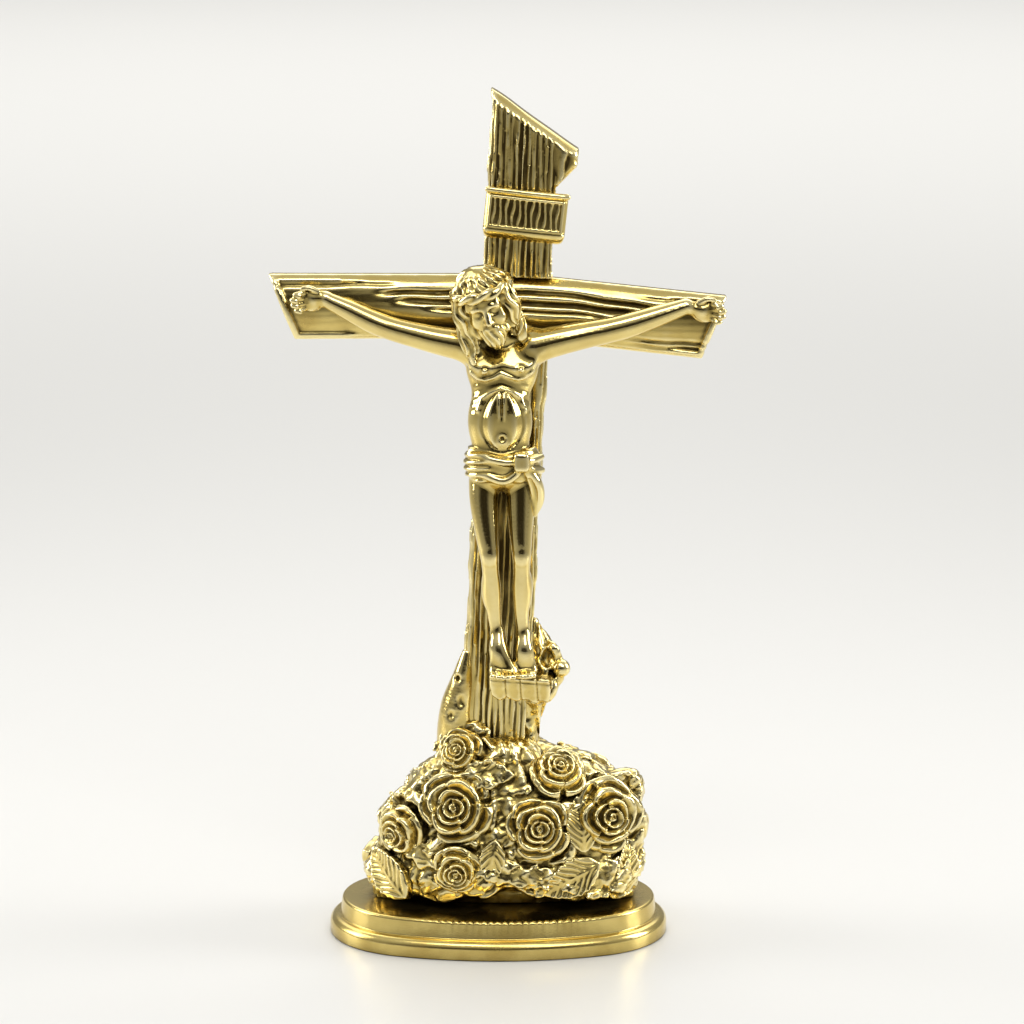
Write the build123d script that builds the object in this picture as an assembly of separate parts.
from build123d import *
import math
import os

# A standing cast crucifix: a stepped oval plinth, a mound of roses on it, and a rustic wooden-looking
# cross with a corpus, footrest and title plate, all cast separately and pinned, brazed or bolted together.
# Millimetres and degrees. +Z is up, -Y is the front, and the origin is the middle of the plinth's underside.

# Plinth
plinth_length = 96.0
plinth_depth = 61.0
plinth_end_share = 0.885
lower_tier_height = 5.4
upper_tier_height = 5.0
tier_ledge = 3.0
lower_tier_round = 2.4
upper_tier_round = 0.9
plinth_wall = 3.6
plinth_roof = 3.2

# Mound
mound_length = 76.0
mound_depth = 38.0
mound_height = 48.0
neck_wall = 2.6
# Height up the mound, left edge, right edge and depth
mound_shares = [
    (0.00, -0.440, 0.490, 0.86),
    (0.18, -0.490, 0.515, 1.00),
    (0.48, -0.400, 0.500, 0.96),
    (0.72, -0.270, 0.370, 0.80),
]

# Roses: degrees round the mound from the front, height share, radius share, facing right and facing up
rose_radius = 11.0
rose_sink_share = -0.30
rose_shares = {
    "rose_large_left": (-32, 0.62, 1.00, -10, 14),
    "rose_large_right": (56, 0.55, 1.02, 20, 8),
    "rose_middle": (13, 0.51, 0.86, 4, 14),
    "rose_low_left": (-21, 0.27, 0.68, -6, -10),
    "rose_left_side": (-60, 0.45, 0.78, -42, -4),
    "rose_upper_right": (42, 0.79, 0.78, 14, 46),
    "rose_upper_left": (-40, 0.92, 0.64, -24, 24),
    "rose_back_left": (-140, 0.55, 0.95, -152, 10),
    "rose_back_middle": (178, 0.30, 0.88, 180, 6),
    "rose_back_right": (132, 0.58, 1.00, 146, 12),
    "rose_back_upper": (172, 0.86, 0.70, 176, 34),
}
# Radius and height along a rose's section, from the back of its cup to its bud
rose_profile_shares = [
    (0.00, -0.70), (0.52, -0.52), (0.84, -0.20), (1.00, 0.06), (0.95, 0.17), (0.80, 0.08), (0.72, 0.16),
    (0.64, 0.29), (0.57, 0.28), (0.48, 0.16), (0.42, 0.26), (0.35, 0.37), (0.28, 0.35), (0.20, 0.24),
    (0.12, 0.36), (0.00, 0.40),
]
# Radius and height along the skirt of open petals that the mound holds out under a rose
skirt_profile_shares = [(0.00, -0.95), (1.10, -0.85), (1.42, -0.50), (1.36, -0.26), (1.06, -0.16), (0.00, -0.16)]

# Leaves: degrees round the mound, height share, length share, facing right, facing up and spin in its plane
leaf_length = 18.0
leaf_width_share = 0.52
leaf_thickness = 4.0
leaf_sink_share = 0.30
leaf_shares = {
    "leaf_right_front": (30, 0.20, 1.05, 14, 6, 205),
    "leaf_right_side": (64, 0.22, 0.86, 46, 4, 80),
    "leaf_left_low": (-56, 0.20, 1.05, -40, 8, 140),
    "leaf_left_high": (-72, 0.60, 0.86, -54, 20, 60),
    "leaf_between_roses": (36, 0.52, 0.92, 14, 10, 96),
    "leaf_front_bud": (-6, 0.32, 0.72, -4, 2, 262),
    "leaf_back_left": (-118, 0.18, 1.00, -128, 4, 200),
    "leaf_back_right": (120, 0.20, 1.00, 128, 4, 330),
}
# Filler leaves in one piece with the mound: count, steady turns round it and in their plane, and their tilt
filler_count = 26
filler_turn = 137.5
filler_spin = 166.0
filler_rising = 14.0
filler_length_share = 0.82
# The lowest level of a filler leaf, the span of their levels and the step from one to the next
filler_level_shares = (0.08, 0.76, 0.382)

# Cross
cross_lean = 2.8
post_width = 19.4
post_thickness = 10.0
post_foot_offset = -1.6
post_seat_depth = 12.0
post_edge = 1.4
top_slope_drop = 15.6
top_flare = 5.8
top_flare_height = 4.9
top_notch_height = 6.1
ridge_pitch = 1.84
ridge_depth = 0.8
ridge_margin = 2.4
ridge_crest_share = 0.28
ridge_floor_share = 0.36
beam_span = 126.8
beam_height = 17.8
beam_thickness = 9.0
beam_droop = 2.8
beam_left_slant = 8.0
beam_right_slant = 6.0
beam_drop = 60.4
beam_edge = 1.2
lap_depth = 5.0

# Title plate
plate_width = 22.6
plate_height = 10.2
plate_thickness = 2.8
plate_rim = 1.1
plate_recess = 0.9
plate_lip_height = 4.0
plate_drop = 33.4
plate_offset = 1.4
plate_tilt = 3.2

# Corpus
figure_height = 116.0
figure_offset = 2.0
shoulder_drop = 7.0
shoulder_share = 0.82
rest_clearance = 19.3
torso_width = 22.0
torso_depth = 14.5
torso_standoff = 4.6
thigh_radius = 4.7
arm_radius = 4.5
left_hand_inset = 7.3
right_hand_inset = 3.2
left_hand_rise = 1.6
right_hand_rise = 3.6
hand_length = 8.4
hand_width = 6.4
hand_thickness = 3.0
head_height = 21.0
head_width = 16.0
head_tilt = 18.0
head_nod = 14.0
cloth_swell = 1.0
knot_radius = 3.0
# Where the upper arm starts, in torso widths and arm radii, and the wrist, in hand lengths from the palm
arm_side_share = 0.40
arm_drop_share = 0.35
wrist_share = 0.30
palm_corner_share = 0.33
# The head's middle and the neck's ends, sideways and up in head heights, forward in torso depths
head_place_shares = (-0.25, 0.41, 0.49)
neck_low_shares = (0.00, 0.00, -0.14, 0.34)
neck_high_shares = (-0.10, 0.22, 0.31, 0.30)
# Beard and hair locks as sideways, forward and up, then girth in head widths and length in head heights
beard_shares = (0.00, 0.26, -0.36, 0.27, 0.19)
lock_shares = [(-0.42, -0.10, -0.42, 0.19, 0.34), (0.38, -0.14, -0.36, 0.17, 0.28)]
# The loincloth's knot in torso sizes, and its tail in knot radii from the knot: right, back, down and girth
knot_shares = (0.24, 0.52, 0.290)
tail_shares = [(0.3, 0.4, 0.0, 0.70), (1.4, 1.4, 2.6, 0.95), (1.5, 2.1, 5.6, 0.80)]
# Height down from the shoulders as shares of the height, then width, depth and sideways shares of the torso
torso_shares = [
    (-0.005, 0.60, 0.58, -0.03),
    (0.030, 0.90, 0.90, -0.04),
    (0.075, 0.92, 0.96, -0.045),
    (0.135, 0.84, 0.92, -0.055),
    (0.215, 0.72, 0.80, -0.06),
    (0.265, 0.74, 0.80, -0.05),
    (0.340, 0.72, 0.76, -0.03),
]
cloth_shares = [
    (0.240, 0.84, 0.90, -0.03),
    (0.285, 0.92, 0.98, -0.03),
    (0.330, 0.92, 0.98, -0.03),
    (0.358, 0.86, 0.88, -0.03),
]
# Height down from the shoulders, sideways and forward in torso widths and depths, and radius in thigh radii
left_leg_shares = [
    (0.310, -0.245, 0.01, 1.00),
    (0.388, -0.268, 0.12, 0.88),
    (0.470, -0.227, 0.20, 0.72),
    (0.517, -0.195, 0.22, 0.62),
    (0.556, -0.182, 0.19, 0.54),
    (0.608, -0.159, 0.16, 0.57),
    (0.681, -0.127, 0.12, 0.43),
    (0.725, -0.091, 0.10, 0.40),
]
right_leg_shares = [
    (0.310, 0.195, 0.01, 1.00),
    (0.388, 0.195, 0.12, 0.88),
    (0.470, 0.195, 0.20, 0.72),
    (0.517, 0.205, 0.22, 0.62),
    (0.556, 0.205, 0.19, 0.54),
    (0.608, 0.205, 0.16, 0.57),
    (0.681, 0.209, 0.12, 0.43),
    (0.725, 0.236, 0.10, 0.40),
]
left_foot_shares = [
    (0.705, -0.095, 0.10, 0.40),
    (0.750, -0.073, 0.24, 0.54),
    (0.795, -0.041, 0.42, 0.52),
    (0.815, -0.027, 0.56, 0.28),
]
right_foot_shares = [
    (0.710, 0.232, 0.09, 0.40),
    (0.752, 0.241, 0.22, 0.52),
    (0.795, 0.250, 0.38, 0.50),
    (0.815, 0.255, 0.50, 0.28),
]
# Along the arm from shoulder to wrist, sag and radius, as shares of the reach and of the upper arm's radius
arm_shares = [
    (0.00, 0.000, 1.00),
    (0.20, 0.012, 0.90),
    (0.42, 0.030, 0.80),
    (0.62, 0.020, 0.68),
    (0.84, 0.000, 0.52),
    (1.00, 0.000, 0.42),
]

# Footrest and the growth at the foot of the cross
rest_width = 18.0
rest_height = 7.2
rest_depth = 9.6
rest_offset = 6.6
rest_taper = 1.6
buttress_height = 26.0
buttress_width = 8.8
buttress_depth = 12.0
buttress_shares = [(0.00, 1.00, 1.00), (0.30, 0.94, 0.94), (0.62, 0.62, 0.76), (1.00, 0.16, 0.36)]
stub_height = 37.0
stub_width = 8.6
stub_depth = 11.0
stub_shares = [
    (0.00, 0.46, 0.70),
    (0.30, 0.62, 0.84),
    (0.56, 1.10, 1.00),
    (0.78, 0.98, 0.92),
    (1.00, 0.30, 0.40),
]
burl_radius = 2.6
burl_height_share = 0.60
growth_sink = 3.0
# How far a growth laps over the post's side and the burl stands forward of the stub
growth_lap_share = 0.14
burl_forward_share = 0.34

# Fixings
stud_radius = 2.5
stud_clearance = 0.25
stud_engagement = 9.0
washer_radius = 7.0
washer_thickness = 1.2
nut_width = 8.0
nut_height = 4.0
stud_tail = 1.0
dowel_radius = 1.5
dowel_spacing = 44.0
dowel_engagement = 4.0
pin_radius = 0.9
pin_bite = 4.0
rivet_radius = 1.8
rivet_head_radius = 3.2
rivet_head_height = 1.2
cut_overrun = 1.0
ovoid_level_shares = [-0.97, -0.70, -0.25, 0.25, 0.70, 0.97]

# Levels worked out from the driving dimensions
plinth_height = lower_tier_height + upper_tier_height
neck_top = plinth_height + mound_height
post_bottom = neck_top - post_seat_depth
shoulder_level = neck_top + rest_clearance + shoulder_share * figure_height
beam_level = (shoulder_level + shoulder_drop - post_bottom) / math.cos(math.radians(cross_lean))
post_length = beam_level + beam_drop
plate_level = post_length - plate_drop
post_front = -post_thickness / 2
lean = Pos(post_foot_offset, 0, post_bottom) * Rot(0, cross_lean, 0)


def in_cross(x, z):
    """Part-frame x and z of a point of the leaning cross, whose own z starts at the post's foot."""
    angle = math.radians(cross_lean)
    return (
        post_foot_offset + x * math.cos(angle) + z * math.sin(angle),
        post_bottom - x * math.sin(angle) + z * math.cos(angle),
    )


def trimmed(piece, *others):
    """The main solid that is left of a piece when its neighbours are cut out of it."""
    for other in others:
        piece = piece - other
    return max(piece.solids(), key=lambda solid: solid.volume)


def oval(length, depth, end_radius):
    """Oval face with two round ends and two flatter sides that meet tangentially."""
    half_length, half_depth = length / 2, depth / 2
    side_radius = half_length**2 + half_depth**2 - 2 * half_length * end_radius
    side_radius /= 2 * (half_depth - end_radius)
    centre_gap = side_radius - end_radius
    end_x = half_length - end_radius
    join_x = end_x + end_radius * end_x / centre_gap
    join_y = end_radius * (side_radius - half_depth) / centre_gap
    return make_face(
        [
            ThreePointArc((join_x, -join_y), (half_length, 0), (join_x, join_y)),
            ThreePointArc((join_x, join_y), (0, half_depth), (-join_x, join_y)),
            ThreePointArc((-join_x, join_y), (-half_length, 0), (-join_x, -join_y)),
            ThreePointArc((-join_x, -join_y), (0, -half_depth), (join_x, -join_y)),
        ]
    )


def plinth_oval(inset):
    end_radius = plinth_end_share * plinth_depth / 2
    return oval(plinth_length - 2 * inset, plinth_depth - 2 * inset, end_radius - inset)


def top_edges(solid):
    return solid.edges().group_by(Axis.Z)[-1]


def upright_cylinder(radius, low, high, x=0, y=0):
    return Pos(x, y, (low + high) / 2) * Cylinder(radius, high - low)


def section(half_width, half_depth):
    """A rounded section of four arcs, each through three points of an ellipse."""
    corner = math.sqrt(2)
    x, y = half_width / corner, half_depth / corner
    return make_face(
        [
            ThreePointArc((x, -y), (half_width, 0), (x, y)),
            ThreePointArc((x, y), (0, half_depth), (-x, y)),
            ThreePointArc((-x, y), (-half_width, 0), (-x, -y)),
            ThreePointArc((-x, -y), (0, -half_depth), (x, -y)),
        ]
    )


def stacked_loft(sections):
    """A loft up Z through rounded sections given as (z, x, y, half width, half depth)."""
    return loft([Pos(x, y, z) * section(*half_sizes) for z, x, y, *half_sizes in sections])


def ovoid(radius, half_length):
    """An egg-like loft about Z, with a small flat at either end."""
    sections = []
    for share in ovoid_level_shares:
        girth = radius * math.sqrt(1 - share**2)
        sections.append((half_length * share, 0, 0, girth, girth))
    return stacked_loft(sections)


def base_plinth():
    lower = extrude(plinth_oval(0), lower_tier_height)
    lower = fillet(top_edges(lower), lower_tier_round)
    upper = Pos(0, 0, lower_tier_height) * extrude(plinth_oval(tier_ledge), upper_tier_height)
    upper = fillet(top_edges(upper), upper_tier_round)
    cavity = extrude(plinth_oval(tier_ledge + plinth_wall), plinth_height - plinth_roof)
    return trimmed(lower + upper, cavity, stud_hole(), *dowels())


def stud_hole():
    high = post_bottom + stud_engagement
    return upright_cylinder(stud_radius + stud_clearance, -cut_overrun, high, post_foot_offset)


def dowels():
    low, high = plinth_height - plinth_roof, plinth_height + dowel_engagement
    return [upright_cylinder(dowel_radius, low, high, side * dowel_spacing / 2) for side in (-1, 1)]


def mound_levels():
    """Sections of the mound as (height share, middle x, half length, half depth), the last round the post."""
    levels = []
    for height, left, right, depth in mound_shares:
        middle = mound_length * (left + right) / 2
        levels.append((height, middle, mound_length * (right - left) / 2, mound_depth * depth / 2))
    half_length, half_depth = post_width / 2 + neck_wall, post_thickness / 2 + 2 * neck_wall
    levels.append((1.0, post_foot_offset, half_length, half_depth))
    return levels


def mound_section(height):
    """Middle x, half length and half depth of the mound at a share of its height."""
    levels = mound_levels()
    for below, above in zip(levels, levels[1:]):
        if height <= above[0]:
            share = (height - below[0]) / (above[0] - below[0])
            return [low + share * (high - low) for low, high in zip(below[1:], above[1:])]
    return list(levels[-1][1:])


def mound_core():
    """The mound with a skirt of petals under each rose and filler leaves between them."""
    sections = []
    for height, middle, half_length, half_depth in mound_levels():
        sections.append((plinth_height + height * mound_height, middle, 0, half_length, half_depth))
    skirts = [petal_skirt(*place) for place in rose_shares.values()]
    return above_plinth(stacked_loft(sections) + skirts + filler_leaves())


def mound_seat(around, height, facing, rising, sink):
    """Frame on the mound's skin whose Z points out of the mound, sunk into it along that Z."""
    middle, half_length, half_depth = mound_section(height)
    turn = math.radians(around)
    spot = (
        middle + half_length * math.sin(turn),
        -half_depth * math.cos(turn),
        plinth_height + height * mound_height,
    )
    outward = Rot(0, 0, facing) * Rot(90 - rising, 0, 0)
    return Pos(*spot) * outward * Pos(0, 0, -sink)


def turned(profile_shares, around, height, radius_share, facing, rising):
    """A solid turned from a rose's profile, at that rose's place on the mound."""
    radius = rose_radius * radius_share
    points = [(radius * r, radius * h) for r, h in profile_shares]
    bloom = revolve(Plane.XZ * make_face(Polyline(*points, close=True)), Axis.Z)
    return mound_seat(around, height, facing, rising, radius * rose_sink_share) * bloom


def rose(*place):
    return turned(rose_profile_shares, *place)


def petal_skirt(*place):
    return turned(skirt_profile_shares, *place)


def leaf(around, height, length_share, facing, rising, spin):
    length = leaf_length * length_share
    half_width = length * leaf_width_share / 2
    outline = make_face(
        [
            ThreePointArc((-length / 2, 0), (0, -half_width), (length / 2, 0)),
            ThreePointArc((length / 2, 0), (0, half_width), (-length / 2, 0)),
        ]
    )
    blade = extrude(outline, leaf_thickness)
    sink = leaf_thickness * leaf_sink_share
    return mound_seat(around, height, facing, rising, sink) * Rot(0, 0, spin) * blade


def filler_leaves():
    lowest, span, step = filler_level_shares
    leaves = []
    for k in range(filler_count):
        around = k * filler_turn
        height = lowest + span * (k * step % 1)
        _, half_length, half_depth = mound_section(height)
        turn = math.radians(around)
        facing = math.degrees(math.atan2(half_depth * math.sin(turn), half_length * math.cos(turn)))
        leaves.append(leaf(around, height, filler_length_share, facing, filler_rising, k * filler_spin))
    return leaves


def above_plinth(piece):
    """The piece with whatever dips below the plinth's top cut away."""
    slab = Pos(0, 0, plinth_height / 2) * Box(plinth_length, plinth_depth, plinth_height)
    return trimmed(piece, slab)


def groove(width, low, high):
    """A groove along Z in a face at y 0 that looks to -Y, with sloping sides and a flat floor."""
    half_mouth, half_floor = width * (1 - ridge_crest_share) / 2, width * ridge_floor_share / 2
    mouth = half_mouth + (half_mouth - half_floor) * cut_overrun / ridge_depth
    outline = Polyline(
        (-mouth, -cut_overrun), (mouth, -cut_overrun), (half_floor, ridge_depth), (-half_floor, ridge_depth),
        close=True,
    )
    return Pos(0, 0, low) * extrude(make_face(outline), high - low)


def grooves_across(width, low, top_at):
    """Evenly spaced grooves across a face of that width, each up to the level that top_at gives for its place."""
    count = int((width / 2 - post_edge) / ridge_pitch)
    found = []
    for k in range(-count, count):
        across = (k + 0.5) * ridge_pitch
        found.append(Pos(across, 0, 0) * groove(ridge_pitch, low, top_at(across) - ridge_margin))
    return found


def grained(post):
    """The post with ridges like the grain of split wood down its four sides, clear of the mound."""
    low = post_seat_depth + ridge_margin
    slope = top_slope_drop / (post_width + top_flare)
    notch_low = post_length - top_slope_drop - top_flare_height - top_notch_height
    cuts = []
    for turn, reach, width, top_at in (
        (0, post_thickness / 2, post_width, lambda across: post_length - slope * (across + post_width / 2)),
        (180, post_thickness / 2, post_width, lambda across: post_length - slope * (post_width / 2 - across)),
        (90, post_width / 2, post_thickness, lambda across: notch_low),
        (270, post_width / 2, post_thickness, lambda across: post_length),
    ):
        face = lean * Rot(0, 0, turn) * Pos(0, -reach, 0)
        cuts += [face * cut for cut in grooves_across(width, low, top_at)]
    return trimmed(post, *cuts)


def post_blank():
    half, right = post_width / 2, post_width / 2 + top_flare
    right_top = post_length - top_slope_drop
    flare_low = right_top - top_flare_height
    outline = Polyline(
        (-half, 0), (half, 0), (half, flare_low - top_notch_height), (right, flare_low), (right, right_top),
        (-half, post_length), close=True,
    )
    blank = extrude(Plane.XZ * make_face(outline), post_thickness / 2, both=True)
    return lean * chamfer(blank.edges().filter_by(Axis.Z), post_edge)


def beam_tips():
    """Distances along the beam from the post's axis to its tips, which are even about the plinth's middle."""
    axis_x, _ = in_cross(0, beam_level + beam_height / 2 - beam_droop)
    run = math.cos(math.radians(cross_lean))
    return (-beam_span / 2 - axis_x) / run, (beam_span / 2 - axis_x) / run


def beam_blank():
    left, right = beam_tips()
    half = beam_height / 2
    crown, tip_top = beam_level + half, beam_level + half - beam_droop
    tip_bottom = beam_level - half - beam_droop
    outline = Polyline(
        (left, tip_top), (-post_width / 2, crown), (post_width / 2, crown), (right, tip_top),
        (right - beam_right_slant, tip_bottom), (post_width / 2, beam_level - half),
        (-post_width / 2, beam_level - half), (left + beam_left_slant, tip_bottom), close=True,
    )
    blank = extrude(Plane.XZ * make_face(outline), beam_thickness / 2, both=True)
    blank = Pos(0, post_front + beam_thickness / 2, 0) * blank
    front = blank.faces().sort_by(Axis.Y)[0]
    return lean * chamfer(front.edges(), beam_edge)


def lap_tongue():
    """The part of the post that stays behind the beam in the half-lap joint."""
    depth = post_thickness - lap_depth
    height = beam_height + beam_droop + 2 * cut_overrun
    return lean * Pos(0, post_front + lap_depth + depth / 2, beam_level) * Box(post_width, depth, height)


def title_plate():
    panel = Box(plate_width, plate_thickness, plate_height)
    pocket_depth = plate_recess + cut_overrun
    pocket = Box(plate_width - 2 * plate_rim, pocket_depth, plate_height - 2 * plate_rim)
    pocket = Pos(0, plate_recess - pocket_depth / 2 - plate_thickness / 2, 0) * pocket
    lip_face = Plane.XY * Rectangle(plate_width, plate_thickness)
    lip_foot = Rectangle(post_width, plate_thickness / 2)
    lip_foot = Pos(0, plate_thickness / 4, -plate_lip_height) * lip_foot
    lip = Pos(0, 0, -plate_height / 2) * loft([lip_face, lip_foot])
    plate = (panel - pocket) + lip
    return plate_place() * plate


def plate_place():
    return lean * Pos(plate_offset, post_front - plate_thickness / 2, plate_level) * Rot(0, plate_tilt, 0)


def plate_pins():
    reach = pin_bite + plate_thickness - plate_recess
    spot = plate_width / 2 - 2 * plate_rim - pin_radius
    middle = Pos(0, (plate_recess - plate_thickness / 2) + reach / 2, 0)
    pin = middle * Rot(90, 0, 0) * Cylinder(pin_radius, reach)
    return [plate_place() * Pos(side * spot, 0, 0) * pin for side in (-1, 1)]


def body_depth_middle():
    """The y that the corpus's torso is built round, in front of the post."""
    return post_front - torso_standoff


def body_sections(shares, swell=0.0):
    sections = []
    for down, width, depth, sideways in shares:
        x = figure_offset + torso_width * sideways
        z = shoulder_level - down * figure_height
        half_width, half_depth = torso_width * width / 2 + swell, torso_depth * depth / 2 + swell
        sections.append((z, x, body_depth_middle(), half_width, half_depth))
    return sections


def limb(points):
    """A loft through circles given as (point, radius), each square to the way the limb runs there."""
    sections = []
    for i, (point, radius) in enumerate(points):
        before, after = points[max(i - 1, 0)][0], points[min(i + 1, len(points) - 1)][0]
        sections.append(Plane(origin=point, z_dir=Vector(*after) - Vector(*before)) * section(radius, radius))
    return loft(sections)


def leg(shares):
    points = []
    for down, sideways, forward, radius in shares:
        spot = (
            figure_offset + torso_width * sideways,
            body_depth_middle() - torso_depth * forward,
            shoulder_level - down * figure_height,
        )
        points.append((spot, thigh_radius * radius))
    return limb(points)


def hand_spot(side):
    """Where a palm lies on the front of the beam, with side -1 for the arm at -X and 1 for the one at +X."""
    left, right = beam_tips()
    along, rise = right - beam_right_slant / 2 - right_hand_inset, right_hand_rise
    if side < 0:
        along, rise = left + beam_left_slant / 2 + left_hand_inset, left_hand_rise
    x, z = in_cross(along, beam_level - beam_droop / 2 + rise)
    return x, post_front - hand_thickness / 2, z


def arm(side):
    hand = hand_spot(side)
    start_z = shoulder_level - arm_radius * arm_drop_share
    start = Vector(figure_offset + side * torso_width * arm_side_share, body_depth_middle(), start_z)
    wrist = Vector(hand[0] - side * hand_length * wrist_share, hand[1], hand[2])
    reach = wrist - start
    points = []
    for along, sag, radius in arm_shares:
        spot = start + reach * along - Vector(0, 0, reach.length * sag)
        points.append((tuple(spot), arm_radius * radius))
    palm = Box(hand_length, hand_thickness, hand_width)
    palm = fillet(palm.edges().filter_by(Axis.Y), hand_width * palm_corner_share)
    return limb(points) + Pos(*hand) * Rot(0, cross_lean, 0) * palm


def neck_end(shares):
    sideways, forward, up, girth = shares
    spot = (
        figure_offset + head_height * sideways,
        body_depth_middle() - torso_depth * forward,
        shoulder_level + head_height * up,
    )
    return spot, torso_depth * girth


def hair_tuft(sideways, forward, up, girth, length):
    """A beard or a lock of hair, placed from the middle of the head."""
    place = Pos(head_width * sideways, -head_width * forward, head_height * up)
    return place * ovoid(head_width * girth, head_height * length)


def head():
    sideways, forward, up = head_place_shares
    place = Pos(
        figure_offset + head_height * sideways,
        body_depth_middle() - torso_depth * forward,
        shoulder_level + head_height * up,
    )
    skull = ovoid(head_width / 2, head_height / 2)
    for tuft in (beard_shares, *lock_shares):
        skull = skull + hair_tuft(*tuft)
    neck = limb([neck_end(neck_low_shares), neck_end(neck_high_shares)])
    return neck + place * Rot(head_nod, 0, 0) * Rot(0, -head_tilt, 0) * skull


def loincloth():
    wrap = stacked_loft(body_sections(cloth_shares, cloth_swell))
    sideways, forward, down = knot_shares
    x, y = figure_offset + torso_width * sideways, body_depth_middle() - torso_depth * forward
    z = shoulder_level - down * figure_height
    tail = []
    for right, back, drop, girth in tail_shares:
        spot = (x + knot_radius * right, y + knot_radius * back, z - knot_radius * drop)
        tail.append((spot, knot_radius * girth))
    return wrap + Pos(x, y, z) * Sphere(knot_radius) + limb(tail)


def corpus_blank():
    """The whole figure as one casting, still round at the back."""
    body = stacked_loft(body_sections(torso_shares)) + loincloth()
    for shares in (left_leg_shares, right_leg_shares, left_foot_shares, right_foot_shares):
        body = body + leg(shares)
    return body + arm(-1) + arm(1) + head()


def rest_top():
    return shoulder_level - shoulder_share * figure_height


def footrest():
    x, _ = in_cross(0, rest_top() - post_bottom)
    top = Rectangle(rest_width, rest_depth)
    foot = Rectangle(rest_width - 2 * rest_taper, rest_depth - rest_taper)
    foot = Pos(0, rest_taper / 2, -rest_height) * foot
    return Pos(x + rest_offset, post_front - rest_depth / 2, rest_top()) * loft([top, foot])


def growth(side, height, width, depth, shares):
    """A tapering growth up one side of the post from inside the mound's neck, with side -1 for the left."""
    low = neck_top - growth_sink
    sections = []
    for up, width_share, depth_share in shares:
        half_width = width * width_share / 2
        edge, _ = in_cross(side * post_width / 2, low + height * up - post_bottom)
        middle = edge + side * (half_width - width * growth_lap_share)
        sections.append((low + height * up, middle, 0, half_width, depth * depth_share / 2))
    return stacked_loft(sections)


def root_buttress():
    return growth(-1, buttress_height, buttress_width, buttress_depth, buttress_shares)


def branch_stub():
    stub = growth(1, stub_height, stub_width, stub_depth, stub_shares)
    level = neck_top - growth_sink + stub_height * burl_height_share
    edge, _ = in_cross(post_width / 2, level - post_bottom)
    burl = Pos(edge + stub_width, -stub_depth * burl_forward_share, level) * Sphere(burl_radius)
    return stub + burl


def pin_shank(radius, front, back):
    """A round shank along Y, from its front end to its back end."""
    return Pos(0, (front + back) / 2, 0) * Rot(90, 0, 0) * Cylinder(radius, back - front)


def pin_along_y(x, z, front, back):
    return Pos(x, 0, z) * pin_shank(pin_radius, front, back)


def hand_pins():
    pins = []
    for side in (-1, 1):
        x, _, z = hand_spot(side)
        pins.append(pin_along_y(x, z, post_front - hand_thickness, post_front + pin_bite))
    return pins


def foot_pin():
    down, sideways, forward, radius = left_foot_shares[1]
    x = figure_offset + torso_width * sideways
    z = shoulder_level - down * figure_height
    front = body_depth_middle() - torso_depth * forward - thigh_radius * radius
    return pin_along_y(x, z, front, post_front + pin_bite)


def footrest_pin():
    x, z = in_cross(0, rest_top() - post_bottom - rest_height / 2)
    return pin_along_y(x, z, post_front - pin_bite, post_front + pin_bite)


def lap_rivet():
    x, z = in_cross(0, beam_level)
    shank = pin_shank(rivet_radius, -post_thickness / 2, post_thickness / 2)
    button = pin_shank(rivet_head_radius, post_thickness / 2, post_thickness / 2 + rivet_head_height)
    return Pos(x, 0, z) * (shank + button)


def fixing_stud():
    low = plinth_height - plinth_roof - washer_thickness - nut_height - stud_tail
    return upright_cylinder(stud_radius, low, post_bottom + stud_engagement, post_foot_offset)


def fixing_washer():
    high = plinth_height - plinth_roof
    ring = upright_cylinder(washer_radius, high - washer_thickness, high, post_foot_offset)
    return trimmed(ring, stud_hole())


def fixing_nut():
    low = plinth_height - plinth_roof - washer_thickness - nut_height
    hexagon = extrude(RegularPolygon(nut_width / 2, 6, major_radius=False), nut_height)
    return trimmed(Pos(post_foot_offset, 0, low) * hexagon, fixing_stud())


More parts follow.
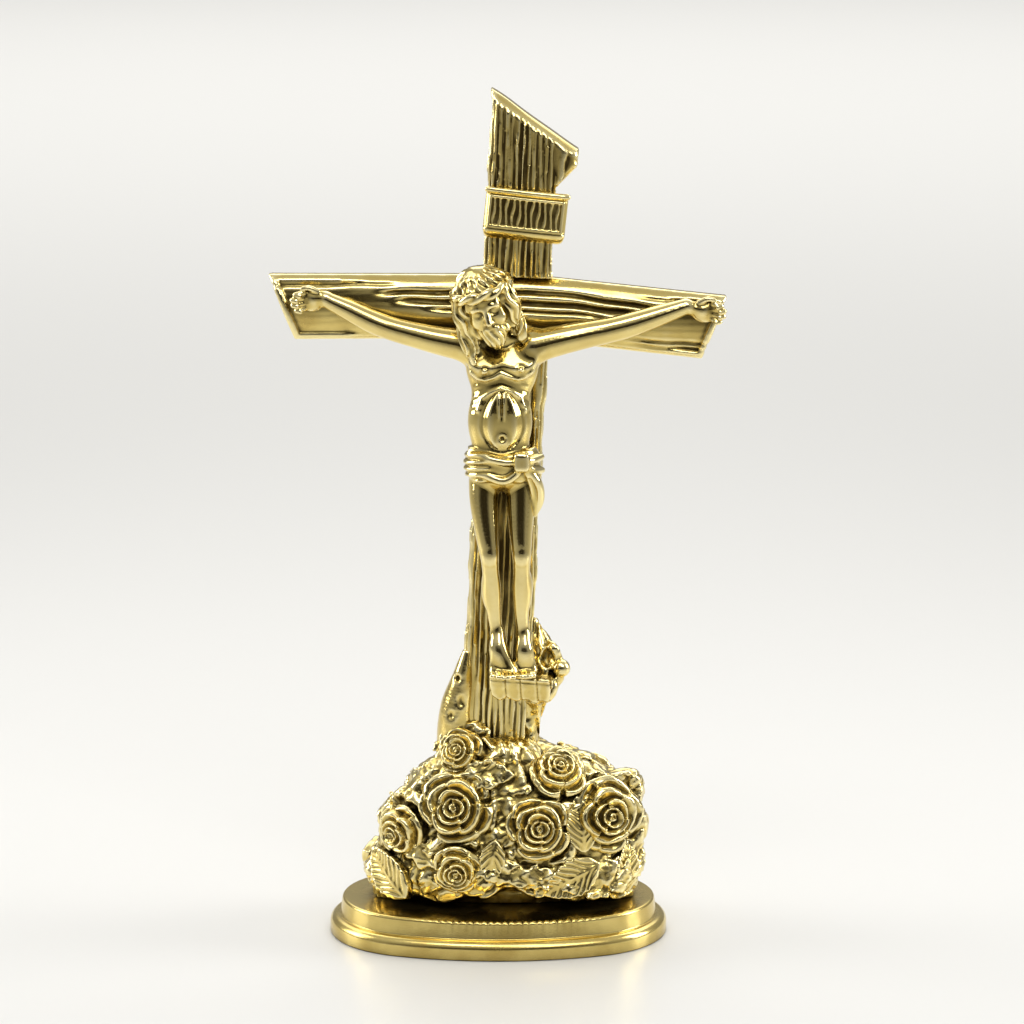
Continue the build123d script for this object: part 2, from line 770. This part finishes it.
def assemble():
    """Every node of the crucifix by name, each trimmed to meet its neighbours face to face."""
    nodes = {"base_plinth": base_plinth()}
    stud, beam_raw, post_raw = fixing_stud(), beam_blank(), post_blank()
    rivet, rest, foot, rest_pin = lap_rivet(), footrest(), foot_pin(), footrest_pin()
    hands, title_pins, plate = hand_pins(), plate_pins(), title_plate()

    nodes["crossbeam"] = trimmed(beam_raw, lap_tongue(), rivet, *hands)
    post_fixings = [stud, rivet, foot, rest_pin, *title_pins]
    nodes["upright_post"] = trimmed(grained(post_raw), nodes["crossbeam"], *post_fixings)
    nodes["title_plate"] = trimmed(plate, *title_pins)
    nodes["footrest"] = trimmed(rest, rest_pin)
    nodes["corpus"] = trimmed(corpus_blank(), post_raw, beam_raw, rest, foot, *hands)
    nodes["root_buttress"] = trimmed(root_buttress(), post_raw, rest)
    nodes["branch_stub"] = trimmed(branch_stub(), post_raw, rest, nodes["corpus"])

    growths = [nodes["root_buttress"], nodes["branch_stub"], post_raw]
    blooms = []
    for name, place in rose_shares.items():
        nodes[name] = trimmed(above_plinth(rose(*place)), *growths, *touching(rose(*place), blooms))
        blooms.append(nodes[name])
    for name, place in leaf_shares.items():
        nodes[name] = trimmed(above_plinth(leaf(*place)), *growths, *touching(leaf(*place), blooms))
        blooms.append(nodes[name])
    nodes["rose_mound"] = trimmed(mound_core(), *growths, stud_hole(), *dowels(), *blooms)

    nodes["title_pins"] = Compound(title_pins)
    nodes["hand_pins"] = Compound(hands)
    nodes["foot_pin"] = foot
    nodes["footrest_pin"] = rest_pin
    nodes["lap_rivet"] = rivet
    nodes["fixing_stud"] = stud
    nodes["fixing_washer"] = fixing_washer()
    nodes["fixing_nut"] = fixing_nut()
    nodes["locating_dowels"] = Compound(dowels())
    return nodes


def touching(piece, others):
    """Those of the others whose boxes meet the piece's box."""
    box = piece.bounding_box()
    found = []
    for other in others:
        gap = other.bounding_box()
        low, high = zip(tuple(box.min), tuple(gap.min)), zip(tuple(box.max), tuple(gap.max))
        if all(max(lows) < min(highs) for lows, highs in zip(low, high)):
            found.append(other)
    return found


os.makedirs("parts", exist_ok=True)
for node_name, shape in assemble().items():
    export_step(shape, f"parts/{node_name}.step")
